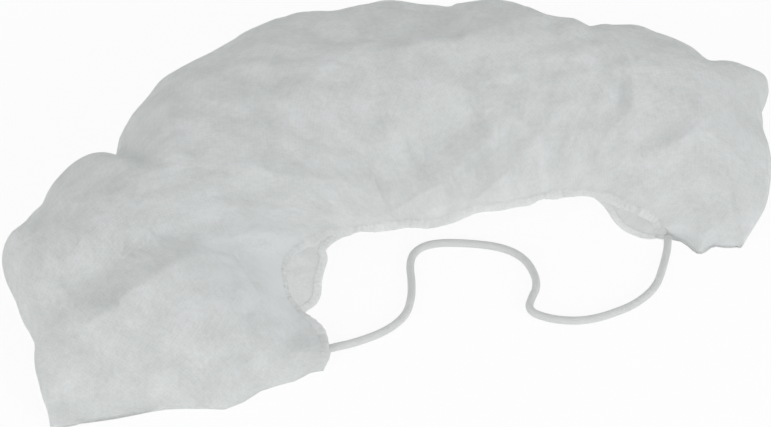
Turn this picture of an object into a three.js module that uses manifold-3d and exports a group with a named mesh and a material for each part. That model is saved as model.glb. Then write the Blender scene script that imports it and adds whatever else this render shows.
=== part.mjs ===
// A disposable beard cover of thin nonwoven cloth, lying on a table as it is taken from its pack.
// A puffed crescent pouch has its gathered mouth on the hollow side, an elastic hem runs round the
// mouth, and one slack elastic cord lies on the table between the two corners of the mouth.
// Millimetres, +X to the right, +Y to the back of the crescent, +Z up from the table.
import * as THREE from "three";
import { mergeVertices } from "three/addons/utils/BufferGeometryUtils.js";
import Module from "manifold-3d";

const wasm = await Module();
wasm.setup();

// Driving dimensions
const clothWall = 1.2; // the loose cloth as one wall
const seatGap = 0.4; // between the hem and the cloth's edge
const hemWidth = 5;
const hemThickness = 2.2;
const hemSides = 6;
const cornerSides = 10;
const cordDiameter = 3.2;
const cordSides = 8;
const cordSteps = 36;
const alongSteps = 60; // from the left end of the pouch to its right end
const lowerSteps = 6; // across the layer on the table
const rimSteps = 7; // round the back rim
const upperSteps = 22; // over the top layer, from the rim to the upper lip
const leastUpperHeight = 3.4; // keeps the top layer off the bottom one
const partAt = 1.5; // height above the table at which the two layers are parted
const flatWithin = 0.03; // faces this close to flat are merged after the parting

const clothColour = 0xd9dbdb;
const hemColour = 0xdfe1e1;
const cordColour = 0xe4e6e6;

// Rows of numbers as objects with the given names
const table = (names, rows) =>
  rows.map((row) => Object.fromEntries(names.map((name, k) => [name, row[k]])));

// Sections of the pouch, from its left end to its right end. Each runs in plan from the mouth
// (inner) to the back rim (outer). crown is the height of the crest of the top layer, crownAt of the
// way out, and front is the share of it that is reached frontAt of the way out. lip is the height of
// the upper lip, tuck is how far the lower lip lies behind it, and bow bends the section sideways.
const frontAt = 0.22;
const sectionNames = [
  "innerX", "innerY", "outerX", "outerY", "crown", "crownAt", "front", "lip", "tuck", "bow",
];
const sections = table(sectionNames, [
  [-58, -76, -166, -65, 7, 0.5, 0.9, 6.2, 0, 8],
  [-57, -66, -165, -55, 18, 0.5, 0.85, 7, 0, 7],
  [-61, -49, -162, -38, 32, 0.52, 0.78, 10, 0, 4],
  [-61, -39, -161, -16, 42, 0.56, 0.7, 13, -10, 0],
  [-56, -27, -160, 10, 45, 0.6, 0.66, 15, -12, 0],
  [-40, -20, -133, 31, 47, 0.6, 0.62, 15, -3, 0],
  [-27, -22, -105, 40, 48, 0.62, 0.6, 15, 12, 0],
  [-16, -24, -76, 68, 51, 0.62, 0.6, 15, 17, 0],
  [-4, -27, -30, 83, 53, 0.62, 0.6, 15, 17, 0],
  [8, -31, 10, 78, 55, 0.62, 0.6, 15, 17, 0],
  [24, -30, 45, 68, 54, 0.62, 0.6, 15, 17, 0],
  [40, -32, 80, 53, 54, 0.62, 0.6, 15, 17, 0],
  [56, -33, 112, 30, 51, 0.62, 0.62, 14, 17, 0],
  [69, -36, 141, 3, 47, 0.62, 0.66, 13, 14, 0],
  [79, -43, 166, -16, 39, 0.6, 0.7, 13, 4, 0],
  [86, -52, 156, -34, 33, 0.58, 0.74, 12.5, -2, 0],
  [92, -59, 149, -54, 24, 0.57, 0.78, 10.5, -2, 0],
  [96, -63, 139, -70, 14, 0.56, 0.85, 8, 0, 0],
  [98, -68, 122, -83, 7, 0.55, 0.9, 6.2, 0, -3],
]);

// Folds in the top layer, each along a line in plan. depth is inwards for a valley and below nought
// for a ridge. A fold reaches leftWide and rightWide to the two sides of its line.
const foldNames = ["fromX", "fromY", "toX", "toY", "depth", "leftWide", "rightWide"];
const folds = table(foldNames, [
  // left lobe: the deep valley with the sharp near edge, its ridge, the panel's creases, the tuck
  [-142, -40, -101, -29, 8, 13, 7],
  [-128, -20, -80, -15, -4, 8, 8],
  [-147, -45, -141, -58, 2, 6, 6],
  [-126, -53, -109, -68, 2.5, 7, 7],
  [-108, -68, -84, -58, 2.5, 7, 7],
  [-158, -60, -133, -66, 2, 5, 5],
  [-74, -31, -58, -27, -3, 6, 6],
  [-58, -28, -68, -48, -3, 6, 6],
  [-76, -70, -62, -62, 2, 6, 6],
  // back rim: its notches and dips
  [-105, 30, -96, 11, 8, 8, 5],
  [-52, 28, -35, 35, 5, 12, 8],
  [13, 35, 48, 28, 6, 8, 7],
  [49, 43, 41, 30, 3, 7, 7],
  [83, 15, 78, 7, 3, 8, 8],
  [136, -16, 125, -23, 5, 9, 9],
  [150, -41, 136, -42, 3, 7, 7],
  // ridges and dimples on the slope towards the mouth
  [-34, 27, 9, 40, -3, 7, 7],
  [-87, 14, -78, 33, -2, 6, 6],
  [-57, -3, -39, -6, -2.5, 6, 6],
  [20, 25, 49, 16, -2.5, 7, 7],
  [43, 5, 58, 1, -2, 6, 6],
  [97, -15, 95, -24, 4.5, 5, 5],
  [65, -6, 85, -11, 2, 5, 5],
  // gathers that run up from the upper lip
  [-24, -14, -30, -2, 2, 5, 5],
  [-10, -16, -17, -4, 2.5, 5, 5],
  [4, -20, -2, -6, 2.5, 5, 5],
  [14, -24, 12, -8, 2, 5, 5],
  [25, -25, 38, -10, 4, 6, 6],
  [40, -28, 45, -14, -2, 5, 5],
  [54, -31, 58, -17, -2, 5, 5],
  [66, -32, 74, -20, 2, 5, 5],
  [84, -42, 96, -36, 1.6, 6, 6],
]);

// The cord's centre line on the table, from the left corner of the mouth to the right one
const cordRoute = [
  [-51.2, -69.2], [-45.5, -69.8], [-38.8, -69.8], [-32.3, -69.2], [-25.5, -67.3], [-19.1, -63.4],
  [-14, -56.6], [-10.4, -48.8], [-7.2, -40.2], [-3.4, -34.9], [2.2, -32.6], [8.8, -33.4],
  [16.3, -36.5], [23.5, -40.4], [29.6, -44.7], [34.4, -50.3], [36.8, -57.4], [36.2, -65.8],
  [33.8, -71.4], [30.5, -75], [27.4, -79], [27.4, -82.8], [30.6, -86.8], [35.3, -90.4],
  [41.7, -93.5], [48.8, -95.1], [56.6, -95.3], [65.2, -94.4], [73.4, -91.6], [79.8, -87.4],
  [85.4, -81.2], [89.8, -75.6], [92.7, -71.5],
];

// Catmull-Rom value between rows of numbers, t counted in rows
function blendRows(rows, t) {
  const last = rows.length - 1;
  const i = Math.min(Math.floor(t), last - 1);
  const f = t - i;
  return rows[i].map((b, k) => {
    const c = rows[i + 1][k];
    const a = i > 0 ? rows[i - 1][k] : 2 * b - c;
    const d = i + 1 < last ? rows[i + 2][k] : 2 * c - b;
    const square = 2 * a - 5 * b + 4 * c - d;
    const cube = 3 * b - a - 3 * c + d;
    return 0.5 * (2 * b + (c - a) * f + square * f ** 2 + cube * f ** 3);
  });
}

// One section as points from the lower lip along the table, round the rim and back to the upper lip
function sectionPoints(row) {
  const inner = new THREE.Vector2(row.innerX, row.innerY);
  const out = new THREE.Vector2(row.outerX, row.outerY).sub(inner);
  const reach = out.length();
  out.normalize();
  const side = new THREE.Vector2(-out.y, out.x);
  const profile = [
    [row.tuck, 0],
    [0.35 * reach, 0],
    [0.7 * reach, 0],
    [0.9 * reach, 0.07 * row.crown],
    [reach, 0.4 * row.crown],
    [0.93 * reach, 0.82 * row.crown],
    [row.crownAt * reach, row.crown],
    [frontAt * reach, row.front * row.crown],
    [0, row.lip],
  ];
  const stops = [];
  for (let k = 0; k < lowerSteps; k++) stops.push((3 * k) / lowerSteps);
  for (let k = 0; k < rimSteps; k++) stops.push(3 + (2 * k) / rimSteps);
  for (let k = 0; k <= upperSteps; k++) stops.push(5 + (3 * k) / upperSteps);
  return stops.map((stop) => {
    const [s, z] = blendRows(profile, stop);
    const share = THREE.MathUtils.clamp(s / reach, 0, 1);
    const bend = row.bow * 6.75 * share * (1 - share) ** 2;
    const x = inner.x + s * out.x + bend * side.x;
    const y = inner.y + s * out.y + bend * side.y;
    return new THREE.Vector3(x, y, Math.max(z, 0));
  });
}

// Depth of all the folds at a place in plan
function foldDepth(x, y) {
  let depth = 0;
  for (const fold of folds) {
    const along = new THREE.Vector2(fold.toX - fold.fromX, fold.toY - fold.fromY);
    const offset = new THREE.Vector2(x - fold.fromX, y - fold.fromY);
    const share = THREE.MathUtils.clamp(offset.dot(along) / along.lengthSq(), 0, 1);
    const wide = along.cross(offset) > 0 ? fold.leftWide : fold.rightWide;
    const away = offset.addScaledVector(along, -share).length() / wide;
    depth += fold.depth * Math.exp(-away * away);
  }
  return depth;
}

// Unit normals of a grid of points, away from the hollow
function gridNormals(grid) {
  const lastRow = grid.length - 1;
  const lastColumn = grid[0].length - 1;
  return grid.map((line, i) =>
    line.map((_, j) => {
      const alongU = grid[Math.min(i + 1, lastRow)][j].clone().sub(grid[Math.max(i - 1, 0)][j]);
      const alongV = line[Math.min(j + 1, lastColumn)].clone().sub(line[Math.max(j - 1, 0)]);
      return alongV.cross(alongU).normalize();
    }),
  );
}

// The outer face of the cloth with its folds: only the top layer and the rim are folded
function outerFace() {
  const rows = sections.map((row) => sectionNames.map((name) => row[name]));
  const grid = [];
  for (let i = 0; i <= alongSteps; i++) {
    const values = blendRows(rows, (i * (rows.length - 1)) / alongSteps);
    const [row] = table(sectionNames, [values]);
    grid.push(sectionPoints(row));
  }
  const normals = gridNormals(grid);
  return grid.map((line, i) =>
    line.map((point, j) => {
      const layer = THREE.MathUtils.smoothstep(j, lowerSteps, lowerSteps + rimSteps);
      if (layer === 0) return point;
      const depth = layer * foldDepth(point.x, point.y);
      const moved = point.clone().addScaledVector(normals[i][j], -depth);
      moved.z = Math.max(moved.z, Math.min(point.z, leastUpperHeight));
      return moved;
    }),
  );
}

// The inner face, one wall inside the outer one, its end rows drawn in from the closed ends
function innerFace(outer) {
  const normals = gridNormals(outer);
  const inner = outer.map((line, i) =>
    line.map((point, j) => point.clone().addScaledVector(normals[i][j], -clothWall)),
  );
  const drawIn = (line, towards) =>
    line.forEach((point, j) => {
      const step = towards[j].clone().sub(point);
      step.z = 0;
      point.addScaledVector(step.normalize(), clothWall);
    });
  drawIn(inner[0], inner[1]);
  drawIn(inner.at(-1), inner.at(-2));
  return inner;
}

// A BufferGeometry from points and triangles of point numbers
function geometryFrom(points, triangles) {
  const geometry = new THREE.BufferGeometry().setFromPoints(points);
  geometry.setIndex(triangles.flat());
  geometry.computeVertexNormals();
  return geometry;
}

// Triangles that close a section's outline, zipped from the lips out to the rim
function capTriangles(line, first) {
  const reach = (k) => Math.hypot(line[k].x - line[0].x, line[k].y - line[0].y);
  const triangles = [];
  let low = 0;
  let top = line.length - 1;
  while (top - low > 1) {
    const lowFirst = reach(low + 1) < reach(top - 1);
    triangles.push([low, lowFirst ? low + 1 : top - 1, top].map((k) => first + k));
    if (lowFirst) low++;
    else top--;
  }
  return triangles;
}

// The pouch: outer face and inner face, closed ends on both, and the cut edge of the cloth at the lips
function pouchGeometry(outer, inner) {
  const columns = outer[0].length;
  const points = [...outer.flat(), ...inner.flat()];
  const half = outer.length * columns;
  const at = (i, j) => i * columns + j;
  const triangles = [];
  const quad = (a, b, c, d) => triangles.push([a, b, c], [a, c, d]);
  for (let i = 0; i < alongSteps; i++) {
    for (let j = 0; j + 1 < columns; j++) {
      const [a, b, c, d] = [at(i, j), at(i, j + 1), at(i + 1, j + 1), at(i + 1, j)];
      quad(a, b, c, d);
      quad(half + d, half + c, half + b, half + a);
    }
    const [low, lowNext] = [at(i, 0), at(i + 1, 0)];
    quad(low, lowNext, half + lowNext, half + low);
    const [top, topNext] = [at(i, columns - 1), at(i + 1, columns - 1)];
    quad(topNext, top, half + top, half + topNext);
  }
  const turned = (t) => [t[2], t[1], t[0]];
  const right = at(alongSteps, 0);
  triangles.push(...capTriangles(outer[0], 0).map(turned));
  triangles.push(...capTriangles(inner[0], half));
  triangles.push(...capTriangles(outer[alongSteps], right));
  triangles.push(...capTriangles(inner[alongSteps], half + right).map(turned));
  const lastTop = columns - 1;
  quad(lastTop, 0, half, half + lastTop);
  quad(right, right + lastTop, half + right + lastTop, half + right);
  return geometryFrom(points, triangles);
}

// A closed strip through rings of points, with flat ends
function stripGeometry(rings) {
  const count = rings[0].length;
  const triangles = [];
  for (let i = 0; i + 1 < rings.length; i++) {
    for (let k = 0; k < count; k++) {
      const next = (k + 1) % count;
      const [a, b] = [i * count + k, i * count + next];
      triangles.push([a, b, b + count], [a, b + count, a + count]);
    }
  }
  const end = (rings.length - 1) * count;
  for (let k = 1; k + 1 < count; k++) {
    triangles.push([0, k + 1, k], [end, end + k, end + k + 1]);
  }
  return geometryFrom(rings.flat(), triangles);
}

// A closed geometry as a solid that can be joined or cut
function solidOf(geometry) {
  const bare = geometry.clone();
  bare.deleteAttribute("normal");
  bare.deleteAttribute("uv");
  const merged = mergeVertices(bare, 1e-4);
  const vertProperties = new Float32Array(merged.attributes.position.array);
  const triVerts = new Uint32Array(merged.index.array);
  return new wasm.Manifold(new wasm.Mesh({ numProp: 3, vertProperties, triVerts }));
}

function geometryOf(solid) {
  const { vertProperties, triVerts } = solid.getMesh();
  const geometry = new THREE.BufferGeometry();
  geometry.setAttribute("position", new THREE.BufferAttribute(vertProperties, 3));
  geometry.setIndex(new THREE.BufferAttribute(triVerts, 1));
  geometry.computeVertexNormals();
  return geometry;
}

// Centre line of the hem along one lip: just off the cloth's edge, in line with the cloth and square
// to the lip
function hemLine(outer, inner, edge, next) {
  const lip = outer.map((line, i) => line[edge].clone().add(inner[i][edge]).multiplyScalar(0.5));
  return lip.map((point, i) => {
    const before = lip[Math.max(i - 1, 0)];
    const after = lip[Math.min(i + 1, lip.length - 1)];
    const along = after.clone().sub(before).normalize();
    const out = outer[i][edge].clone().sub(outer[i][next]);
    out.addScaledVector(along, -out.dot(along)).normalize();
    const centre = point.clone().addScaledVector(out, hemWidth / 2 + seatGap);
    centre.z = Math.max(centre.z, hemThickness / 2);
    return { centre, out, along };
  });
}

// The hem along one lip as a strip of flattened rings
function hemStrip(line) {
  const rings = line.map(({ centre, out, along }) => {
    const up = along.clone().cross(out);
    const ring = [];
    for (let k = 0; k < hemSides; k++) {
      const turn = (2 * Math.PI * k) / hemSides;
      const point = centre.clone();
      point.addScaledVector(out, Math.cos(turn) * (hemWidth / 2));
      point.addScaledVector(up, Math.sin(turn) * (hemThickness / 2));
      point.z = Math.max(point.z, 0);
      ring.push(point);
    }
    return ring;
  });
  return stripGeometry(rings);
}

// The sewn corner where the two lips of the hem meet, an upright round from the table to the upper lip
function hemCorner(upper, lower) {
  const height = upper.centre.z + hemThickness / 2;
  const radius = hemWidth / 2 - seatGap;
  const corner = new THREE.CylinderGeometry(radius, radius, height, cornerSides);
  corner.rotateX(Math.PI / 2);
  const place = lower.centre.clone().addScaledVector(lower.out, seatGap);
  corner.translate(place.x, place.y, height / 2);
  return corner;
}

const outer = outerFace();
const inner = innerFace(outer);
const topEdge = outer[0].length - 1;
const upperHem = hemLine(outer, inner, topEdge, topEdge - 1);
const lowerHem = hemLine(outer, inner, 0, 1);

function hemGeometry() {
  const pieces = [
    hemStrip(upperHem),
    hemStrip(lowerHem),
    hemCorner(upperHem[0], lowerHem[0]),
    hemCorner(upperHem.at(-1), lowerHem.at(-1)),
  ];
  return geometryOf(pieces.map(solidOf).reduce((joined, piece) => joined.add(piece)));
}

// The cord along its route, resting on the table
function cordGeometry() {
  const height = cordDiameter / 2;
  const route = cordRoute.map(([x, y]) => new THREE.Vector3(x, y, height));
  const section = new THREE.Shape();
  for (let k = 0; k < cordSides; k++) {
    const turn = ((k + 0.5) * 2 * Math.PI) / cordSides;
    const x = Math.cos(turn) * (cordDiameter / 2);
    const y = Math.sin(turn) * (cordDiameter / 2);
    if (k === 0) section.moveTo(x, y);
    else section.lineTo(x, y);
  }
  const extrudePath = new THREE.CatmullRomCurve3(route);
  return new THREE.ExtrudeGeometry(section, { steps: cordSteps, extrudePath });
}

function piece(name, geometry, color, roughness) {
  const material = new THREE.MeshStandardMaterial({ color, roughness, metalness: 0 });
  const mesh = new THREE.Mesh(geometry, material);
  mesh.name = name;
  return mesh;
}

// The pouch is one cloth; its two layers are parted just above the table, for collision of their own
const pouch = solidOf(pouchGeometry(outer, inner));
const lowerSolid = pouch.trimByPlane([0, 0, -1], -partAt).simplify(flatWithin);
const upperSolid = pouch.trimByPlane([0, 0, 1], partAt + seatGap).simplify(flatWithin);
const lowerLayer = piece("lower_layer", geometryOf(lowerSolid), clothColour, 0.9);
const upperLayer = piece("upper_layer", geometryOf(upperSolid), clothColour, 0.9);
const mouthHem = piece("mouth_hem", hemGeometry(), hemColour, 0.9);
const headCord = piece("head_cord", cordGeometry(), cordColour, 0.8);

// The origin lies on the table under the middle of the cloth, the cord left out of account
const beardCover = new THREE.Group();
beardCover.name = "beard_cover";
beardCover.add(lowerLayer, upperLayer, mouthHem);
const middle = new THREE.Box3().setFromObject(beardCover).getCenter(new THREE.Vector3());
beardCover.add(headCord);
for (const mesh of beardCover.children) mesh.position.set(-middle.x, -middle.y, 0);

export default beardCover;
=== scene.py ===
import math
import bpy
import numpy as np
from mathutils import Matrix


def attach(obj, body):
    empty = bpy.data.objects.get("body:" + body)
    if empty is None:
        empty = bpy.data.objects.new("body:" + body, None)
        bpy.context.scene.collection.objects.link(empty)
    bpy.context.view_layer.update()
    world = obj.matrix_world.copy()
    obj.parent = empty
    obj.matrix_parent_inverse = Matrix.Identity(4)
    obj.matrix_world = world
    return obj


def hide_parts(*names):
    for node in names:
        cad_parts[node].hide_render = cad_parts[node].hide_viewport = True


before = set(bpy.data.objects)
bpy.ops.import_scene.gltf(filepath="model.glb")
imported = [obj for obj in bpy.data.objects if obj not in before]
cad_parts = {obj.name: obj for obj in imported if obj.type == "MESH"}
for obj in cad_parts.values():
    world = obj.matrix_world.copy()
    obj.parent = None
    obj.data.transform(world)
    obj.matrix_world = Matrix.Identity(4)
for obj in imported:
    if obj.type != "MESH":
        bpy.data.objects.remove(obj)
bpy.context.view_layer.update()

scene = bpy.context.scene
mm = 0.001  # every table below is in millimetres, every mesh in metres
dice = np.random.default_rng(41)

# Camera, light and floor, set to the photo's angle
cameraLook = {
    "azimuth": -23, "elevation": 45, "target": (-12, -26, 20), "away": 1000,
    "lens": 116.73, "sensor": 36,
}


def addCamera(look):
    turn, rise = math.radians(look["azimuth"]), math.radians(look["elevation"])
    back = np.array([math.sin(turn) * math.cos(rise), -math.cos(turn) * math.cos(rise), math.sin(rise)])
    data = bpy.data.cameras.new("photoCamera")
    data.lens, data.sensor_width = look["lens"], look["sensor"]
    camera = bpy.data.objects.new("photoCamera", data)
    camera.location = (np.array(look["target"]) + look["away"] * back) * mm
    camera.rotation_euler = (math.radians(90) - rise, 0, turn)
    scene.collection.objects.link(camera)
    scene.camera = camera


addCamera(cameraLook)

studio = {
    "world": 0.665,
    "floorSide": 6000,
    "floorDrop": 0.2,
    "floorWhite": 0.12,
    "floorGlow": 0.88,
    "lamps": [  # name, place, size across, watts, colour
        ("frontSoftbox", (800, -2050, 500), 1600, 24, (0.99, 0.99, 1)),
        ("sideSoftbox", (-2000, -700, 700), 1200, 11, (1, 1, 0.97)),
    ],
    "lampAim": (0, -10, 15),
}


def addStudio(look):
    world = bpy.data.worlds.new("studioWorld")
    world.use_nodes = True
    sky = world.node_tree.nodes["Background"].inputs
    sky["Color"].default_value = (1, 1, 1, 1)
    sky["Strength"].default_value = look["world"]
    scene.world = world
    for name, place, size, watts, colour in look["lamps"]:
        data = bpy.data.lights.new(name, "AREA")
        data.size, data.energy, data.color = size * mm, watts, colour
        lamp = bpy.data.objects.new(name, data)
        lamp.location = np.array(place) * mm
        aim = np.array(look["lampAim"]) - np.array(place)
        lean = math.acos(-aim[2] / np.linalg.norm(aim))
        lamp.rotation_euler = (lean, 0, math.atan2(aim[1], aim[0]) - math.pi / 2)
        scene.collection.objects.link(lamp)
    side = look["floorSide"] * mm / 2
    data = bpy.data.meshes.new("floor")
    corners = [(-side, -side, 0), (side, -side, 0), (side, side, 0), (-side, side, 0)]
    data.from_pydata(corners, [], [(0, 1, 2, 3)])
    floor = bpy.data.objects.new("floor", data)
    floor.location.z = -look["floorDrop"] * mm
    material = bpy.data.materials.new("paleFloor")
    material.use_nodes = True
    shade = material.node_tree.nodes["Principled BSDF"].inputs
    shade["Base Color"].default_value = (*[look["floorWhite"]] * 3, 1)
    shade["Roughness"].default_value = 0.9
    shade["Specular IOR Level"].default_value = 0.1
    shade["Emission Color"].default_value = (1, 1, 1, 1)
    shade["Emission Strength"].default_value = look["floorGlow"]  # a lit table, so that shadows stay faint
    data.materials.append(material)
    scene.collection.objects.link(floor)


addStudio(studio)
scene.view_settings.view_transform = "Standard"
print("camera, lights and floor")


# Shapes shared by the pieces

def catmullRom(rows, t):
    # Through the rows in turn: a cubic on each span, whose slope at a row is half the step
    # from the row before it to the row after it
    rows = np.asarray(rows, float)
    padded = np.concatenate([2 * rows[:1] - rows[1:2], rows, 2 * rows[-1:] - rows[-2:-1]])
    i = np.clip(np.floor(t).astype(int), 0, len(rows) - 2)
    f = (np.asarray(t) - i).reshape((-1,) + (1,) * (rows.ndim - 1))
    a, b, c, d = (padded[i + k] for k in range(4))
    return b + 0.5 * f * (c - a + f * (2 * a - 5 * b + 4 * c - d + f * (3 * b - a - 3 * c + d)))


def unit(v):
    return v / np.maximum(np.linalg.norm(v, axis=-1, keepdims=True), 1e-12)


def gridNormals(points):
    # Outward normal: the step across times the step along
    return unit(np.cross(np.gradient(points, axis=1), np.gradient(points, axis=0)))


def evenRoute(points, count):
    # The same line with its points evenly spaced along its length
    run = np.concatenate([[0], np.cumsum(np.linalg.norm(np.diff(points, axis=0), axis=1))])
    stops = np.linspace(0, run[-1], count)
    return np.stack([np.interp(stops, run, points[:, k]) for k in range(3)], axis=1)


def tubeGrid(route, out, up, halfWide, halfThick, sides, thinBack=0):
    # An ellipse in the plane of out and up, carried along the route; its height times the cosine
    # of half the turn, to the power thinBack, makes its back edge thin
    turn = np.linspace(0, 2 * math.pi, sides, endpoint=False)
    high = np.sin(turn) * np.abs(np.cos(turn / 2)) ** thinBack
    across = np.cos(turn)[None, :, None] * out[:, None] * np.reshape(halfWide, (-1, 1, 1))
    return route[:, None] + across + high[None, :, None] * up[:, None] * np.reshape(halfThick, (-1, 1, 1))


def tubeFaces(rings, sides, first=0):
    # Quads between neighbouring rings, and one face over each end
    i, k = np.meshgrid(np.arange(rings - 1), np.arange(sides), indexing="ij")
    n = (k + 1) % sides
    quads = np.stack([i * sides + k, i * sides + n, (i + 1) * sides + n, (i + 1) * sides + k], axis=-1)
    last = first + (rings - 1) * sides
    ends = [list(range(first + sides - 1, first - 1, -1)), list(range(last, last + sides))]
    return (quads.reshape(-1, 4) + first).tolist() + ends


def roundUv(run, girth, sides):
    # Distance along, and distance round to the far side and back again, so that the texture closes on itself
    there = girth / 2 * (1 - np.abs(2 * np.arange(sides) / sides - 1))
    return np.stack(np.broadcast_arrays(run[:, None], there[None, :]), axis=-1).reshape(-1, 2)


def addPiece(name, points, faces, uv=None, sewn=0):
    # A smooth mesh in metres from points in millimetres
    data = bpy.data.meshes.new(name)
    data.from_pydata((np.asarray(points).reshape(-1, 3) * mm).tolist(), [], faces)
    data.polygons.foreach_set("use_smooth", np.ones(len(data.polygons), bool))
    if uv is not None:  # one pair for each vertex, in millimetres of flat cloth
        corner = np.empty(len(data.loops), int)
        data.loops.foreach_get("vertex_index", corner)
        pairs = np.asarray(uv).reshape(-1, 2)[corner]
        first = len(corner) - 3 * sewn  # the last triangles sew far parts together
        pairs[first:] = np.asarray(points).reshape(-1, 3)[corner[first:]][:, [0, 2]]  # so they go by x and z
        layer = data.uv_layers.new(name="flatCloth")
        layer.data.foreach_set("uv", (pairs * mm).ravel())
    data.update()
    piece = bpy.data.objects.new(name, data)
    scene.collection.objects.link(piece)
    return piece


# Pouch cloth

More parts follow.
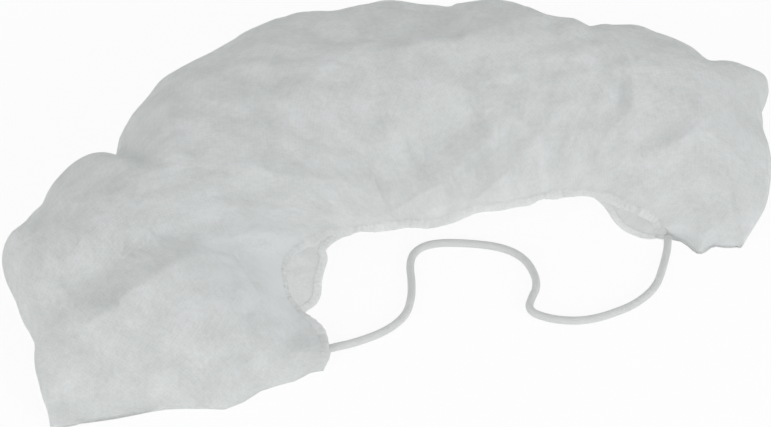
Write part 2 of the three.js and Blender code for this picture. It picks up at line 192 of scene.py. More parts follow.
sectionNames = "innerX innerY outerX outerY crown crownAt front lip tuck bow".split()
foldNames = "fromX fromY toX toY depth wide".split()
tuckNames = "fromX fromY toX toY bow depth slope fade".split()
nudgeNames = "atX atY pushX pushY wide upTo".split()
pouchLook = {
    "alongSteps": 288, "lowerSteps": 16, "rimSteps": 24, "upperSteps": 96, "rowStep": 0.68,
    "thickness": 0.35, "leastHeight": 1.6, "endRound": 9, "endHigh": 0.85, "lipReach": (0.45, 0.6),
    "tuckSharp": 1.7, "tuckLip": (0.2, 6),
    "puff": 0.6, "facets": [(23, 0.85), (10, 0.38)],
    "creases": 150, "creaseHigh": 0.52, "creaseAt": [(15, 455), (4, 125)], "creaseSquare": 32,
    "creaseHalf": (7, 30), "creaseWide": (2.2, 6.5),
    "quietEnd": 18, "quietLip": 8,  # lumps fade out over these runs
    "slackAlong": 0.15, "slackAll": 0.02, "slackAcross": 0.02,
    "gatherRun": 26, "gatherStart": 5, "gatherCut": 0.75,
    "hold": 0.01, "holdLip": (0.2, 4), "holdEnd": (0.25, 6),  # how hard, and the run over which it fades
    "levels": [(4, 220, 1.6), (2, 160, 0.7), (1, 60, 0.25)],  # step, rounds, kick
    # how crumpled the cloth is, and how hard the hem draws it in, by section
    "crumpleAt": [(0, 0.5), (4, 0.55), (6, 0.8), (9, 1.1), (12, 1), (13, 0.6), (14, 0.3), (18, 0.3)],
    "bunchAt": [
        (0, 0.1), (4, 0.12), (6, 0.3), (8, 0.6), (10, 1), (12, 0.9), (13.5, 0.2), (16, 0.1), (18, 0.1),
    ],
    "sections": [  # side views from the left end to the right one
        [-58, -76, -166, -65, 7, 0.5, 0.9, 6.2, 0, 8],
        [-57, -66, -165, -55, 18, 0.5, 0.85, 7, 0, 7],
        [-61, -49, -162, -38, 32, 0.52, 0.78, 10, 0, 4],
        [-61, -39, -161, -16, 42, 0.56, 0.7, 13, -10, 0],
        [-56, -27, -160, 10, 45, 0.6, 0.66, 15, -12, 0],
        [-40, -20, -133, 31, 47, 0.6, 0.62, 15, -3, 0],
        [-27, -22, -105, 40, 48, 0.62, 0.6, 15, 12, 0],
        [-16, -24, -76, 68, 51, 0.62, 0.6, 15, 17, 0],
        [-4, -27, -30, 83, 53, 0.62, 0.6, 15, 17, 0],
        [8, -31, 10, 78, 55, 0.62, 0.6, 15, 17, 0],
        [24, -30, 45, 68, 54, 0.62, 0.6, 15, 17, 0],
        [40, -32, 80, 53, 54, 0.62, 0.6, 15, 17, 0],
        [56, -33, 112, 30, 51, 0.62, 0.62, 14, 17, 0],
        [69, -36, 141, 3, 47, 0.62, 0.66, 13, 14, 0],
        [79, -43, 166, -16, 39, 0.6, 0.7, 13, 4, 0],
        [86, -52, 156, -34, 33, 0.58, 0.74, 12.5, -2, 0],
        [92, -59, 149, -54, 24, 0.57, 0.78, 10.5, -2, 0],
        [96, -63, 139, -70, 14, 0.56, 0.85, 8, 0, 0],
        [98, -68, 122, -83, 7, 0.55, 0.9, 6.2, 0, -3],
    ],
    "folds": [  # soft valleys, and ridges where the depth is below zero
        [-104, 33, -98, 20, 5, 6], [-52, 54, -41, 22, 3, 8], [-78, 36, -85, 13, -2, 5],
        [-63, 3, -39, -6, -1.8, 5], [-19, -6, -10, -6.5, 2.5, 4], [46, -2, 52, -12, -2, 6],
        [97.5, -15, 96, -20, 3.6, 3], [63, -2, 88, -15, 0.5, 3.5], [62, -7, 84, -18, -0.6, 3.5],
        [48, -18, 45, -29, 2.4, 4], [58, -20, 55, -31, -2, 4], [64, -27, 64, -33, 2, 4],
        [-62, -27, -71, -48, -3, 8], [-148, -44, -141, -61, 1.5, 3], [-125, -53, -110, -71, 2, 4],
        [-108, -71, -89, -70, 1.8, 4], [-89, -70, -82, -56, 1.8, 4], [-160, -61, -132, -68.5, 4.5, 4],
        [106, -66, 113, -77, 0.6, 3], [47, 47, 44, 32, 2.6, 5], [90, 39, 81, 10, 1.8, 6],
        [105, 28, 93, 8, 1.7, 5], [96, -33, 124, -31, -1.8, 8], [150, -41, 136, -42, 1.5, 7],
        [-146, 12, -130, -2, 0.8, 6],
    ],
    "tucks": [  # a sharp crest with the cloth falling away on its left
        [-142, -44, -101, -34, -1, 8.5, 15, 7], [13, 30, 52, 25, 0, 5.6, 16, 20],
        [-36, 25, 9, 40, 0, 2.5, 14, 22], [-37, 24, -24, 29, 0, 2.6, 8, 9],
        [17, -20, 42, -12, 0, 6, 9, 8], [22, -29.5, 44, -25, 0, 5.2, 8, 4],
        [-24, -8, -62, 0, 0, 1.4, 4, 8], [-78, -12, -112, -17, 0, 0.9, 5, 16],
        [-52, -19, -78, -22, 0, 3, 8, 40], [60, 4, 42, 8, 0, 2, 4, 8], [-9, -23, 16, -21.5, 0, 7, 9, 8],
        [-8, -29, 14, -28, 0, 2.8, 6, 4], [-67, -75, -56, -66, 0, 1.1, 7, 6],
        [128, -45, 92, -40, 0, 4, 26, 20],
    ],
    # small pushes in plan that bring the outline to the photo's, full at the table, gone at the last height
    "nudges": [
        [-54, -76, -4, -2, 7, 99], [-80, -83, 1, 2.8, 8, 99], [-99, -81, -0.8, -2.1, 8, 99],
        [-124, -76, 0.8, 2.3, 14, 99], [105, -77, -1.7, -3.1, 6, 99], [77, -40, 2.4, -1, 7, 6],
        [77, -53, 1.9, -0.8, 7, 6], [91, -64, -1, -1.2, 6, 6], [-35, -27, -3.4, -0.6, 11, 8],
        [-55, -55, 2.2, -0.9, 8, 99], [-146, 14, 3.5, -1.5, 8, 250], [-113, 24, 2, 5.4, 10, 250],
        [141, -11, -2.1, -3.9, 10, 250], [-89, 48, -1.2, 4.4, 11, 250], [-140, 22, 1.1, -3, 6, 250],
        [-123, 30, -0.3, 1.7, 7, 250], [-47, 74, -0.3, -3.7, 14, 250], [4, 72, -0.8, -1.9, 7, 250],
        [28, 66, 1.2, 2.8, 11, 250], [55, 56, -1.2, -2.8, 8, 250], [90, 38, -2.6, -3.1, 8, 250],
        [104, 27, -2, -2.4, 7, 250], [144, -5, -1.6, -2.4, 5, 250], [119, 14, 1, 1.6, 7, 250],
        [152, -10, -1.2, -2.4, 12, 250], [44, -33, -0.7, -1.7, 14, 250], [97, -67, -3.5, 2.4, 5, 99],
        [100.5, -71.8, 1.2, 2.4, 3.5, 99], [110.3, -78.2, 1, 2.3, 3.5, 99], [-54, -48, -2, 2.2, 6, 6],
        [161, -14, -1.5, -2.2, 6, 250], [-151, 14, 1.1, -0.5, 6, 250], [-161, -20, -1.3, 0.5, 9, 250],
        [-163, -44, -1.5, 0.6, 8, 250], [160, -27, -1.8, 0.8, 8, 250], [-67, -78, 0.9, 2, 6, 99],
        [-89, -81.5, 1, 2.3, 7, 99],
    ],
}


def clothGrid(look, alongT, acrossT):
    # Each section is a side view through nine points, from the lower lip under the pouch,
    # round its back rim and over its crown to the upper lip
    s = dict(zip(sectionNames, catmullRom(look["sections"], alongT).T))
    outX, outY = s["outerX"] - s["innerX"], s["outerY"] - s["innerY"]
    reach = np.hypot(outX, outY)
    outX, outY = outX / reach, outY / reach
    crown, none = s["crown"], np.zeros_like(reach)
    profile = np.array([
        [s["tuck"], none], [0.35 * reach, none], [0.7 * reach, none],
        [0.9 * reach, 0.07 * crown], [reach, 0.4 * crown], [0.93 * reach, 0.82 * crown],
        [s["crownAt"] * reach, crown], [0.22 * reach, s["front"] * crown], [none, s["lip"]],
    ])
    run, height = catmullRom(profile, acrossT).transpose(1, 2, 0)
    share = np.clip(run / reach[:, None], 0, 1)
    bend = s["bow"][:, None] * 6.75 * share * (1 - share) ** 2  # the bow itself a third of the way back
    x = s["innerX"][:, None] + run * outX[:, None] - bend * outY[:, None]
    y = s["innerY"][:, None] + run * outY[:, None] + bend * outX[:, None]
    grid = np.stack([x, y, np.maximum(height, 0)], axis=-1)
    moved = grid.copy()
    for row in look["nudges"]:  # each push fades by exp of minus the square of the distance over its width
        f = dict(zip(nudgeNames, row))
        away = (grid[..., 0] - f["atX"]) ** 2 + (grid[..., 1] - f["atY"]) ** 2
        share = np.exp(-away / f["wide"] ** 2) * np.clip(1 - grid[..., 2] / f["upTo"], 0, 1)
        moved[..., :2] += share[..., None] * np.array([f["pushX"], f["pushY"]])
    return moved


def alongAndOff(points, line):
    # Share of the way along the line, and the distance to the left of it, both in plan
    along = np.array([line["toX"] - line["fromX"], line["toY"] - line["fromY"]], float)
    offset = points[..., :2] - np.array([line["fromX"], line["fromY"]])
    off = (along[0] * offset[..., 1] - along[1] * offset[..., 0]) / np.linalg.norm(along)
    return offset @ along / (along @ along), off, np.linalg.norm(along)


def foldDepth(look, points):
    # A fold is its depth times exp of minus the square of the distance over its width. A tuck falls from
    # its crest over its slope, steepest at the crest, then comes back up by the same bell; its crest
    # stands up a little, and its ends are shallower by the root of a parabola
    depth = np.zeros(points.shape[:2])
    for row in look["folds"]:
        f = dict(zip(foldNames, row))
        share, off, length = alongAndOff(points, f)
        past = (share - np.clip(share, 0, 1)) * length
        depth += f["depth"] * np.exp(-(off ** 2 + past ** 2) / f["wide"] ** 2)
    lipHigh, lipWide = look["tuckLip"]
    for row in look["tucks"]:
        f = dict(zip(tuckNames, row))
        share, off, length = alongAndOff(points, f)
        inside = np.clip(share, 0, 1)
        off = off - f["bow"] * 4 * inside * (1 - inside)
        slope = 1 - (1 - np.clip(off / f["slope"], 0, 1)) ** look["tuckSharp"]
        fall = np.where(off < f["slope"], slope, np.exp(-((off - f["slope"]) / f["fade"]) ** 2))
        ends = np.exp(-((share - inside) * length / f["slope"]) ** 2)
        ends *= 0.35 + 0.65 * np.sqrt(np.clip(4 * inside * (1 - inside), 0, 1))
        depth += f["depth"] * ends * (fall - lipHigh * np.exp(-(off / lipWide) ** 2))
    return depth


def facetField(along, fromLip, size):
    # Crumpled sheet: random heights on a lattice of triangles with flat faces between them,
    # the lattice itself pushed about by smooth noise
    warp = [smoothNoise(*along.shape, (24, 10)) * size * 0.3 for _ in range(2)]
    u, v = (along + warp[0]) / size + 3, (fromLip + warp[1]) / size + 3
    i, j = np.floor(u).astype(int), np.floor(v).astype(int)
    f, g = u - i, v - j
    high = dice.normal(size=(i.max() + 4, j.max() + 4))
    a, b, c, d = high[i, j], high[i + 1, j], high[i, j + 1], high[i + 1, j + 1]
    near, far = a + f * (b - a) + g * (c - a), d + (1 - f) * (c - d) + (1 - g) * (b - d)
    return np.where(f + g < 1, near, far)


def creaseField(along, fromLip, look):
    # Each crease is a ridge or valley on the flat cloth: a tent across its line, to the power 1.4,
    # that fades out at both ends; near the hem the lines run square to it
    height = np.zeros(along.shape)
    for _ in range(look["creases"]):
        u, v = (dice.uniform(*span) for span in look["creaseAt"])
        turn = dice.uniform(0, math.pi) if v > look["creaseSquare"] else math.pi / 2 + dice.normal() * 0.35
        half, wide = dice.uniform(*look["creaseHalf"]), dice.uniform(*look["creaseWide"])
        du, dv = along - u, fromLip - v
        run = (du * math.cos(turn) + dv * math.sin(turn)) / half
        off = du * math.sin(turn) - dv * math.cos(turn) + 0.12 * half * run * run * dice.normal()
        tent = np.clip(1 - np.abs(off) / wide, 0, 1) ** 1.4 * np.clip(1 - run * run, 0, 1)
        height += dice.choice([-1, 1]) * dice.uniform(0.25, 1) * look["creaseHigh"] * tent * wide / 4
    return height


def smoothNoise(rows, columns, cells):
    # Random heights on a coarse grid, joined by a Catmull-Rom surface
    coarse = dice.normal(size=(cells[0] + 1, cells[1] + 1))
    tall = catmullRom(coarse, np.linspace(0, cells[0], rows))
    return catmullRom(tall.T, np.linspace(0, cells[1], columns)).T


def wander(run, step, size):
    # A random value every few millimetres, joined smoothly
    count = int(run[-1] / step) + 3
    return catmullRom(dice.normal(size=count) * size, run / step)


def edgeEnds(grid, di, dj):
    # The two ends of every edge that goes di steps along and dj across
    n, m = grid.shape[:2]
    if dj >= 0:
        return grid[:n - di, :m - dj], grid[di:, dj:]
    return grid[:n - di, -dj:], grid[di:, :m + dj]


def crumple(start, aim, slack, hold, rounds, least):
    # Loose cloth: every edge is pushed towards its slack length, every second neighbour is kept apart
    # so that folds stay round, and a soft hold draws the point back to the plain shape
    apart = 0.94  # the share of their length that second neighbours keep
    taken = 0.28  # the share of a push that one round takes
    along = np.gradient(aim, axis=0) * (1 + slack[0])[..., None]
    across = np.gradient(aim, axis=1) * (1 + slack[1])[..., None]
    edges = []
    for di, dj, stiff in ((1, 0, 1), (0, 1, 1), (1, 1, 0.5), (1, -1, 0.5), (2, 0, 0.35), (0, 2, 0.35)):
        step = sum(edgeEnds(di * along + dj * across, di, dj)) / 2
        rest = np.linalg.norm(step, axis=-1) * (apart if 2 in (di, dj) else 1)
        edges.append((di, dj, stiff, rest))
    points = start.copy()
    for _ in range(rounds):
        push = np.zeros_like(points)
        for di, dj, stiff, rest in edges:
            a, b = edgeEnds(points, di, dj)
            gap = b - a
            size = np.maximum(np.linalg.norm(gap, axis=-1), 1e-6)
            pull = 0.5 * stiff * (1 - rest / size)
            if 2 in (di, dj):
                pull = np.minimum(pull, 0)
            pull = pull[..., None] * gap
            pushA, pushB = edgeEnds(push, di, dj)
            pushA += pull
            pushB -= pull
        points += taken * push
        points += hold[..., None] * (aim - points)
        points[..., 2] = np.maximum(points[..., 2], least)
    return points


def finer(field):
    # Twice as many steps both ways, the new points by the four-point rule (-1, 9, 9, -1) / 16
    for _ in range(2):
        padded = np.concatenate([2 * field[:1] - field[1:2], field, 2 * field[-1:] - field[-2:-1]])
        made = np.empty((2 * len(field) - 1,) + field.shape[1:])
        made[::2] = field
        made[1::2] = (9 * (field[:-1] + field[1:]) - padded[:-3] - padded[3:]) / 16
        field = made.swapaxes(0, 1)
    return field


def makeCloth(look):
    # The plain form less its folds, domed at both ends, then lumps and creases on it,
    # then loose cloth on grids that grow finer
    alongT = np.linspace(0, len(look["sections"]) - 1, look["alongSteps"] + 1)
    acrossT = np.concatenate([
        np.linspace(0, 3, look["lowerSteps"] + 1),
        np.linspace(3, 5, look["rimSteps"] + 1)[1:],
        np.linspace(5, 8, look["upperSteps"] + 1)[1:],
    ])
    plain = clothGrid(look, alongT, acrossT)
    normal = gridNormals(plain)
    top = np.clip((acrossT - 3) / 1.2, 0, 1)
    top = (top * top * (3 - 2 * top))[None, :]  # 0 on the table, 1 on the back wall and the top
    shaped = plain - normal * (top * foldDepth(look, plain))[..., None]
    count = np.arange(len(alongT))
    fromEnd = np.minimum(count, count[::-1])[:, None] * look["rowStep"]  # about millimetres
    dome = np.sqrt(1 - (1 - np.clip(fromEnd / look["endRound"], 0, 1)) ** 2)
    endLow = look["endHigh"] * top
    shaped[..., 2] = np.where(top > 0, np.maximum(shaped[..., 2] * dome, endLow), shaped[..., 2])
    steps = np.linalg.norm(np.diff(shaped[:, ::-1], axis=1, prepend=shaped[:, -1:]), axis=2)
    fromLip = np.cumsum(steps, axis=1)[:, ::-1]
    crownLine = shaped[:, np.searchsorted(acrossT, 6.3)]
    flatU = np.concatenate([[0], np.cumsum(np.linalg.norm(np.diff(crownLine, axis=0), axis=1))])
    flatU = np.broadcast_to(flatU[:, None], fromLip.shape)
    quiet = np.clip(fromEnd / look["quietEnd"], 0.05, 1)
    loose = top * quiet * np.clip(fromLip / look["quietLip"], 0, 1)
    lumps = smoothNoise(*fromLip.shape, (17, 8)) * look["puff"] + creaseField(flatU, fromLip, look)
    lumps += sum(facetField(flatU, fromLip, size) * high for size, high in look["facets"])
    rowGap = np.linalg.norm(np.gradient(plain, axis=0), axis=2)
    drawnIn = rowGap / np.gradient(flatU, axis=0)  # below 1 where the rows run together
    lumps *= np.clip(drawnIn, 0.25, 1) ** 1.5 * np.interp(alongT, *np.transpose(look["crumpleAt"]))[:, None]
    shaped += normal * (loose * lumps)[..., None]
    shaped[..., 2] = np.where(top > 0, np.maximum(shaped[..., 2], endLow), shaped[..., 2])
    bunch = np.interp(alongT, *np.transpose(look["bunchAt"]))[:, None]
    gather = bunch * np.exp(-fromLip / look["gatherRun"])
    gather *= 1 - look["gatherCut"] * np.exp(-fromLip / look["gatherStart"])
    slackAlong = top * quiet * (look["slackAll"] + look["slackAlong"] * gather)
    slackAcross = top * quiet * look["slackAcross"] * np.ones_like(fromLip)
    (lipHold, lipRun), (endHold, endRun) = look["holdLip"], look["holdEnd"]
    hold = look["hold"] + lipHold * np.exp(-fromLip / lipRun) + endHold * np.exp(-fromEnd / endRun)
    hold = np.where(top < 1, np.maximum(hold, 1 - top * 0.97), hold)
    least = np.where(top > 0, np.minimum(shaped[..., 2], look["leastHeight"]), shaped[..., 2])
    moved = None
    for step, rounds, kick in look["levels"]:
        cut = (slice(None, None, step), slice(None, None, step))
        aim = shaped[cut]
        n, m = aim.shape[:2]
        noise = smoothNoise(n, m, (n // 3, m // 3)) * kick * top[:, ::step]
        begin = aim + gridNormals(aim) * noise[..., None]
        if moved is not None:
            begin = begin + finer(moved)
        pull = np.clip(hold[cut] * min(step, 2), 0, 1)
        done = crumple(begin, aim, (slackAlong[cut], slackAcross[cut]), pull, rounds, least[cut])
        moved = done - aim
        print("cloth at", n, "x", m, "moved by up to", round(float(np.abs(moved).max()), 1), "mm")
    reach = np.array(look["lipReach"])  # two narrow rows by which the cloth runs on into the hem
    out = [unit(done[:, edge] - done[:, inner])[:, None] for edge, inner in ((0, 1), (-1, -5))]
    lower, upper = done[:, :1] + out[0] * reach[::-1, None], done[:, -1:] + out[1] * reach[:, None]
    done = np.concatenate([lower, done, upper], axis=1)
    done[..., 2] = np.maximum(done[..., 2], 0)
    fromLip = np.concatenate([fromLip[:, :1] + reach[::-1], fromLip, fromLip[:, -1:] - reach], axis=1)
    return done, np.stack([np.broadcast_to(flatU[:, :1], fromLip.shape), fromLip], axis=-1)


def gridFaces(rows, columns):
    # Quads between neighbouring rows and columns
    i, j = np.meshgrid(np.arange(rows - 1), np.arange(columns - 1), indexing="ij")
    a = i * columns + j
    return np.stack([a, a + 1, a + columns + 1, a + columns], axis=-1).reshape(-1, 4).tolist()


def endSeam(points, first, rim):
    # Sews the two layers together along an end row: both edges run from the rim, and a triangle is made
    # at each next point by its share of its edge's length
    edges = [np.arange(rim, len(points)), np.arange(rim, -1, -1)]
    runs = [np.cumsum(np.linalg.norm(np.diff(points[edge], axis=0), axis=1)) for edge in edges]
    order = np.argsort(np.concatenate([run / run[-1] for run in runs]), kind="stable")
    upperNext = order < len(runs[0])
    i = np.cumsum(upperNext) - upperNext
    j = np.cumsum(~upperNext) - ~upperNext
    upperThird, lowerThird = (edge[np.minimum(k + 1, len(edge) - 1)] for edge, k in zip(edges, (i, j)))
    faces = np.stack([edges[0][i], edges[1][j], np.where(upperNext, upperThird, lowerThird)], axis=1) + first
    return faces[1:]  # the first one has the rim's own point twice


cloth, clothUv = makeCloth(pouchLook)
rows, columns = cloth.shape[:2]
lastRow = (rows - 1) * columns
rimColumn = 2 + pouchLook["lowerSteps"] + pouchLook["rimSteps"] // 2
seams = endSeam(cloth[0], 0, rimColumn).tolist()
seams += endSeam(cloth[-1], lastRow, rimColumn)[:, ::-1].tolist()
pouch = addPiece("pouchCloth", cloth, gridFaces(rows, columns) + seams, clothUv, len(seams))
shell = pouch.modifiers.new("clothThickness", "SOLIDIFY")
shell.thickness, shell.offset = pouchLook["thickness"] * mm, -1
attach(pouch, "root")
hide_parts("lower_layer", "upper_layer")
print("pouch cloth", len(pouch.data.polygons), "faces")

# Mouth hem, the lip's edge folded over its elastic and gathered

hemLook = {
    "wide": 3.8, "thick": 0.95, "overlap": 0.2, "lowest": 0.04, "sides": 16,
    "pleat": 2.7, "pleatDeep": 0.07, "pleatStray": (6, 1.2), "pleatVary": (11, 0.5),
    "scallop": 6.5, "scallopDeep": 0.5,
    "lowerShare": 0.95, "lowerScallop": 0.3,  # the lower lip's width and scallops beside the upper lip's
    "upperEnd": 4, "lowerEnd": 9, "endLeast": 0.06,  # the run over which each end narrows
    "stitch": 2.9, "stitchFrom": 4, "stitchLong": 1.3, "stitchThick": 0.26, "stitchAt": 1.1, "stitchUp": 0.13,
}


def hemRun(lip, inside):
    # Out is the cloth's own direction at the lip, made square to the lip and smoothed;
    # the last value is square to both and points up
    lip = catmullRom(lip, np.linspace(0, len(lip) - 1, 2 * len(lip) - 1))
    inside = catmullRom(inside, np.linspace(0, len(inside) - 1, len(lip)))
    along = unit(np.gradient(lip, axis=0))
    out = lip - inside
    out = unit(out - np.sum(out * along, axis=1, keepdims=True) * along)
    for _ in range(8):
        out[1:-1] = unit(out[:-2] + 2 * out[1:-1] + out[2:])
    return lip, along, out, np.cross(out, along)


def stitchRow(line, along, out, up, run, look):
    # One short capsule every stitch length: a ring's size is the root of 1 minus the square of its place
    stops = np.arange(look["stitchFrom"], run[-1] - look["stitchFrom"], look["stitch"])

    def atStops(values):
        return np.stack([np.interp(stops, run, values[:, k]) for k in range(3)], axis=1)[:, None, None]

    middle, ahead, aside, above = (atStops(values) for values in (line, along, out, up))
    rings, sides = np.array([-1, -0.8, -0.3, 0.3, 0.8, 1]), 6
    place = rings[None, :, None, None]
    size = np.sqrt(np.maximum(1 - place ** 2, 0.02)) * look["stitchThick"] / 2
    turn = np.linspace(0, 2 * math.pi, sides, endpoint=False)[None, None, :, None]
    around = np.cos(turn) * aside - np.sin(turn) * above
    points = middle + place * look["stitchLong"] / 2 * ahead + size * around
    faces = [face for k in range(len(stops)) for face in tubeFaces(len(rings), sides, len(rings) * sides * k)]
    return points.reshape(-1, 3), faces


def makeHem(look, cloth, thickness):
    # A flat tube along each lip: its height ripples with the pleats, its width wanders with the scallops,
    # and both narrow to the ends by the root of the distance
    points, faces, uv, threads = [], [], [], []
    first = 0
    for edge, inner in ((-1, -6), (0, 3)):
        upper = edge == -1
        lip, along, out, up = hemRun(cloth[:, edge], cloth[:, inner])
        run = np.concatenate([[0], np.cumsum(np.linalg.norm(np.diff(lip, axis=0), axis=1))])
        stray, vary = wander(run, *look["pleatStray"]), wander(run, *look["pleatVary"])
        ripple = np.sin(2 * math.pi * run / look["pleat"] + stray) * np.clip(1 + vary, 0.1, 1.8)
        scallop = np.clip(wander(run, look["scallop"], look["scallopDeep"]), -0.9, 0.9)
        scallop *= 1 if upper else look["lowerScallop"]
        half = look["wide"] / 2 * (1 if upper else look["lowerShare"])
        middle = thickness * (-0.5 if upper else 0.5)  # evenly on both faces of the cloth
        fromEnd = np.minimum(run, run[-1] - run) / look["upperEnd" if upper else "lowerEnd"]
        taper = np.sqrt(np.clip(fromEnd, look["endLeast"], 1))
        wide = (half + 0.5 * scallop) * taper
        high = look["thick"] / 2 * (1 + 0.1 * ripple) * taper
        raised = look["pleatDeep"] * ripple * taper + middle
        centre = lip + out * (wide - look["overlap"])[:, None] + up * raised[:, None]
        tube = tubeGrid(centre, out, -up, wide * (1 + 0.03 * ripple), high, look["sides"], 1)
        tube[..., 2] = np.maximum(tube[..., 2], look["lowest"])
        points.append(tube.reshape(-1, 3))
        faces += tubeFaces(len(lip), look["sides"], first)
        first += len(lip) * look["sides"]
        uv.append(roundUv(run, 2 * look["wide"], look["sides"]))
        if upper:
            seam = lip + out * look["stitchAt"] + up * look["stitchUp"]  # a little back from the edge
            threads = stitchRow(seam, along, out, up, run, look)
    return np.concatenate(points), faces, np.concatenate(uv), threads


hemPoints, hemFaces, hemUv, hemThreads = makeHem(hemLook, cloth, pouchLook["thickness"])
hem = addPiece("mouthHem", hemPoints, hemFaces, hemUv)
stitches = addPiece("hemStitches", *hemThreads)
for piece in (hem, stitches):
    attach(piece, "root")
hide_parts("mouth_hem")
print("mouth hem", len(hem.data.polygons), "faces, stitches", len(stitches.data.polygons))

# Head cord, laid on the table

cordLook = {
    "diameter": 3.2, "sides": 16, "rings": 420,
    "startIn": [-59.5, -68.6], "endIn": [95.9, -65.6],  # both ends run on into the hem
    "flatRun": 5, "flatTo": 0.3,
}
cordRoute = [
    [-51.2, -69.2], [-45.5, -69.8], [-38.8, -69.8], [-32.3, -69.2], [-25.5, -67.3], [-19.1, -63.4],
    [-14, -56.6], [-10.4, -48.8], [-7.2, -40.2], [-3.4, -34.9], [2.2, -32.6], [8.8, -33.4], [16.3, -36.5],
    [23.5, -40.4], [29.6, -44.7], [34.4, -50.3], [36.8, -57.4], [36.2, -65.8], [33.8, -71.4], [30.5, -75],
    [27.4, -79], [27.4, -82.8], [30.6, -86.8], [35.3, -90.4], [41.7, -93.5], [48.8, -95.1], [56.6, -95.3],
    [65.2, -94.4], [73.4, -91.6], [79.8, -87.4], [85.4, -81.2], [89.8, -75.6], [92.7, -71.5],
]


def makeCord(look, route):
    # A round tube along the route; the last of its right end is pressed flat where it is sewn in,
    # its height a quarter of a sine
    route = [look["startIn"]] + route + [look["endIn"]]
    flat = catmullRom(route, np.linspace(0, len(route) - 1, 900))
    flat = evenRoute(np.column_stack([flat, np.full(len(flat), look["diameter"] / 2)]), look["rings"])
    along = unit(np.gradient(flat, axis=0))
    up = np.broadcast_to([0.0, 0, 1], flat.shape)
    out = np.cross(along, up)
    length = np.linalg.norm(np.diff(flat, axis=0), axis=1).sum()
    run = np.linspace(0, length, len(flat))
    toEnd = np.clip((length - run) / look["flatRun"], look["flatTo"], 1)
    high = look["diameter"] / 2 * np.sin(math.pi / 2 * toEnd)
    tube = tubeGrid(flat, -out, up, np.full(len(flat), look["diameter"] / 2), high, look["sides"])
    uv = roundUv(run, math.pi * look["diameter"], look["sides"])
    return flat, tube, tubeFaces(len(flat), look["sides"]), uv, length


cordLine, cordTube, cordFaces, cordUv, cordLength = makeCord(cordLook, cordRoute)
cord = addPiece("headCord", cordTube, cordFaces, cordUv)
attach(cord, "root")
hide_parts("head_cord")
print("head cord", round(cordLength, 1), "mm")


# Materials

def addNode(tree, kind, inputs=None, **settings):
    # A value that is a socket is linked, any other is set on the socket
    made = tree.nodes.new("ShaderNode" + kind)
    for key, value in settings.items():
        setattr(made, key, value)
    for key, value in (inputs or {}).items():
        if isinstance(value, bpy.types.NodeSocket):
            tree.links.new(value, made.inputs[key])
        else:
            made.inputs[key].default_value = value
    return made


def maths(tree, operation, a, b=0.0):
    return addNode(tree, "Math", {0: a, 1: b}, operation=operation).outputs[0]


def addGroup(name, takes, gives):
    tree = bpy.data.node_groups.new(name, "ShaderNodeTree")
    for label, kind, value in takes:
        socket = tree.interface.new_socket(name=label, in_out="INPUT", socket_type="NodeSocket" + kind)
        if value is not None:
            socket.default_value = value
    for label in gives:
        tree.interface.new_socket(name=label, in_out="OUTPUT", socket_type="NodeSocketFloat")
    return tree, tree.nodes.new("NodeGroupInput").outputs, tree.nodes.new("NodeGroupOutput").inputs


def nonwovenWeb():
    # Cloud: two noises, the uneven laying of the web. Fibres: thin lines where a stretched noise passes
    # one half, in three directions. Bonds: a lattice of pressed points
    takes = [("Vector", "Vector", None), ("Pitch", "Float", 0.0014)]
    tree, take, give = addGroup("nonwovenWeb", takes, ["Cloud", "Fibres", "Bonds"])
    fine = {"Vector": take["Vector"], "Scale": 520.0, "Detail": 4.0, "Roughness": 0.68}
    broad = {"Vector": take["Vector"], "Scale": 85.0, "Detail": 2.0, "Roughness": 0.5}
    fine, broad = (addNode(tree, "TexNoise", noise).outputs[0] for noise in (fine, broad))
    mixed = maths(tree, "ADD", maths(tree, "MULTIPLY", fine, 0.62), maths(tree, "MULTIPLY", broad, 0.38))
    cloud = addNode(tree, "MapRange", {"Value": mixed, "From Min": 0.34, "From Max": 0.66}).outputs[0]
    tree.links.new(cloud, give["Cloud"])
    lines = None
    for turn in (0.35, 1.45, 2.5):
        spin = {"Vector": take["Vector"], "Rotation": (0, 0, turn), "Scale": (140, 2100, 1)}
        spun = addNode(tree, "Mapping", spin).outputs[0]
        strand = addNode(tree, "TexNoise", {"Vector": spun, "Scale": 1.0, "Detail": 1.0}).outputs[0]
        near = maths(tree, "ABSOLUTE", maths(tree, "SUBTRACT", strand, 0.5))
        ramp = {"Value": near, "From Max": 0.05, "To Min": 1.0, "To Max": 0.0}
        line = addNode(tree, "MapRange", ramp).outputs[0]
        lines = line if lines is None else maths(tree, "MAXIMUM", lines, line)
    tree.links.new(lines, give["Fibres"])
    slant = addNode(tree, "Mapping", {"Vector": take["Vector"], "Rotation": (0, 0, 0.785)}).outputs[0]
    often = maths(tree, "DIVIDE", 1.0, take["Pitch"])
    lattice = {"Vector": slant, "Scale": often, "Randomness": 0.0}
    spots = addNode(tree, "TexVoronoi", lattice).outputs["Distance"]
    ramp = {"Value": spots, "From Min": 0.16, "From Max": 0.30, "To Min": 1.0, "To Max": 0.0}
    tree.links.new(addNode(tree, "MapRange", ramp).outputs[0], give["Bonds"])
    return tree


def knitRibs():
    # Ribs round an elastic cord: two crossing slanted waves, the higher one at each place
    takes = [("Vector", "Vector", None), ("Pitch", "Float", 0.0011)]
    tree, take, give = addGroup("knitRibs", takes, ["Height"])
    part = addNode(tree, "SeparateXYZ", {0: take["Vector"]}).outputs
    waves = []
    for slant in (0.8, -0.8):
        lean = maths(tree, "ADD", part[0], maths(tree, "MULTIPLY", part[1], slant))
        turn = maths(tree, "MULTIPLY", maths(tree, "DIVIDE", lean, take["Pitch"]), 2 * math.pi)
        waves.append(maths(tree, "SINE", turn))
    tree.links.new(maths(tree, "MAXIMUM", *waves), give["Height"])
    return tree


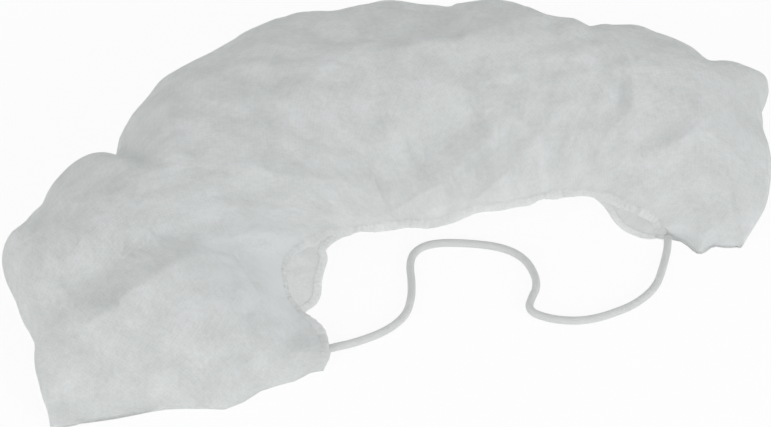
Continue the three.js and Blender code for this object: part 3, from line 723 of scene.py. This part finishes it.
def paintedLightZone():
    # A patch of painted light that makes the cloth lighter where more light falls: 1 minus the square of the
    # way along from the middle over
    #     # the reach, times 1 minus the way from the lip over the depth, neither below 0
    takes = [("Vector", "Vector", None)]
    takes += [("Middle", "Float", 0.07), ("Reach", "Float", 0.05), ("Depth", "Float", 0.06)]
    tree, take, give = addGroup("paintedLightZone", takes, ["Mask"])
    part = addNode(tree, "SeparateXYZ", {0: take["Vector"]}).outputs
    far = maths(tree, "DIVIDE", maths(tree, "SUBTRACT", part[0], take["Middle"]), take["Reach"])
    along = maths(tree, "MAXIMUM", maths(tree, "SUBTRACT", 1.0, maths(tree, "MULTIPLY", far, far)))
    near = maths(tree, "MAXIMUM", maths(tree, "SUBTRACT", 1.0, maths(tree, "DIVIDE", part[1], take["Depth"])))
    tree.links.new(maths(tree, "MULTIPLY", along, near), give["Mask"])
    return tree


def newMaterial(name):
    material = bpy.data.materials.new(name)
    material.use_nodes = True
    return material, material.node_tree, material.node_tree.nodes["Principled BSDF"]


def addTint(tree, shader, share, dark, light):
    # The share goes from the dark colour to the light one
    tint = addNode(tree, "Mix", {0: share, 6: (*dark, 1), 7: (*light, 1)}, data_type="RGBA").outputs[2]
    tree.links.new(tint, shader.inputs["Base Color"])


def addThrough(tree, shader, look, bump):
    # Light that comes through the piece, mixed with the light that it throws back
    tree.links.new(bump, shader.inputs["Normal"])
    through = addNode(tree, "BsdfTranslucent", {"Color": (*look["through"], 1), "Normal": bump}).outputs[0]
    both = addNode(tree, "MixShader", {0: look["seeThrough"], 1: shader.outputs[0], 2: through}).outputs[0]
    tree.links.new(both, tree.nodes["Material Output"].inputs["Surface"])


webGroup, ribGroup, paintedLightGroup = nonwovenWeb(), knitRibs(), paintedLightZone()
webLook = {"fibreDense": 0.22, "bondThin": 0.25, "fibreHigh": 0.35, "cloudHigh": 0.8, "bondDeep": 0.35}


def clothMaterial(name, look):
    material, tree, shader = newMaterial(name)
    flat = addNode(tree, "UVMap", uv_map="flatCloth").outputs[0]
    web = addNode(tree, "Group", {"Vector": flat, "Pitch": look["pitch"] * mm}, node_tree=webGroup).outputs
    densityAndPaintedLight = maths(tree, "ADD", web["Cloud"], maths(tree, "MULTIPLY", web["Fibres"], webLook["fibreDense"]))
    densityAndPaintedLight = maths(tree, "SUBTRACT", densityAndPaintedLight, maths(tree, "MULTIPLY", web["Bonds"], webLook["bondThin"]))
    # painted light: each patch adds to the web's density, so the tint goes lighter where more light falls
    for middle, reach, depth, by in look["gathers"]:
        sizes = {"Vector": flat, "Middle": middle * mm, "Reach": reach * mm, "Depth": depth * mm}
        zone = addNode(tree, "Group", sizes, node_tree=paintedLightGroup).outputs["Mask"]
        densityAndPaintedLight = maths(tree, "ADD", densityAndPaintedLight, maths(tree, "MULTIPLY", zone, by))
    addTint(tree, shader, densityAndPaintedLight, look["thin"], look["thick"])
    raised = maths(tree, "MULTIPLY", web["Fibres"], webLook["fibreHigh"])
    raised = maths(tree, "ADD", raised, maths(tree, "MULTIPLY", web["Cloud"], webLook["cloudHigh"]))
    height = maths(tree, "SUBTRACT", raised, maths(tree, "MULTIPLY", web["Bonds"], webLook["bondDeep"]))
    bump = addNode(tree, "Bump", {"Strength": look["bump"], "Distance": 0.0003, "Height": height}).outputs[0]
    shader.inputs["Roughness"].default_value = 0.85
    shader.inputs["Specular IOR Level"].default_value = 0.25
    shader.inputs["Sheen Weight"].default_value = 0.08
    addThrough(tree, shader, look, bump)
    return material


clothFinish = {
    "thin": (0.572, 0.59, 0.575), "thick": (0.86, 0.87, 0.878), "through": (0.954, 0.963, 0.96),
    "seeThrough": 0.64, "pitch": 1.4, "bump": 0.35,
    "gathers": [(70, 52, 65, 0.55), (450, 62, 105, 0.72)],  # middle, reach, depth, and how much lighter: patches of painted light where the lobes catch more light
}
hemFinish = {
    "thin": (0.60, 0.615, 0.605), "thick": (0.87, 0.88, 0.885), "through": (0.955, 0.963, 0.96),
    "seeThrough": 0.66, "pitch": 1.2, "bump": 0.4, "gathers": [],
}
pouch.data.materials.append(clothMaterial("nonwovenCloth", clothFinish))
hem.data.materials.append(clothMaterial("gatheredHem", hemFinish))


def cordMaterial(name, look):
    material, tree, shader = newMaterial(name)
    flat = addNode(tree, "UVMap", uv_map="flatCloth").outputs[0]
    sizes = {"Vector": flat, "Pitch": look["pitch"] * mm}
    ribs = addNode(tree, "Group", sizes, node_tree=ribGroup).outputs["Height"]
    cloud = addNode(tree, "TexNoise", {"Vector": flat, "Scale": 260.0, "Detail": 2.0}).outputs[0]
    addTint(tree, shader, cloud, look["dark"], look["light"])
    bump = addNode(tree, "Bump", {"Strength": look["bump"], "Distance": 0.0002, "Height": ribs}).outputs[0]
    shader.inputs["Roughness"].default_value = 0.75
    addThrough(tree, shader, look, bump)
    return material


cordFinish = {
    "dark": (0.62, 0.632, 0.626), "light": (0.75, 0.76, 0.76), "through": (0.9, 0.91, 0.905),
    "seeThrough": 0.4, "pitch": 1.1, "bump": 0.35,
}
cord.data.materials.append(cordMaterial("elasticCord", cordFinish))


def threadMaterial(name, look):
    material, tree, shader = newMaterial(name)
    place = addNode(tree, "TexCoord").outputs["Object"]
    twist = addNode(tree, "TexNoise", {"Vector": place, "Scale": 1500.0, "Detail": 1.0}).outputs[0]
    addTint(tree, shader, twist, look["dark"], look["light"])
    shader.inputs["Roughness"].default_value = 0.6
    return material


threadFinish = {"dark": (0.82, 0.83, 0.83), "light": (0.92, 0.93, 0.93)}
stitches.data.materials.append(threadMaterial("stitchThread", threadFinish))
print("materials")
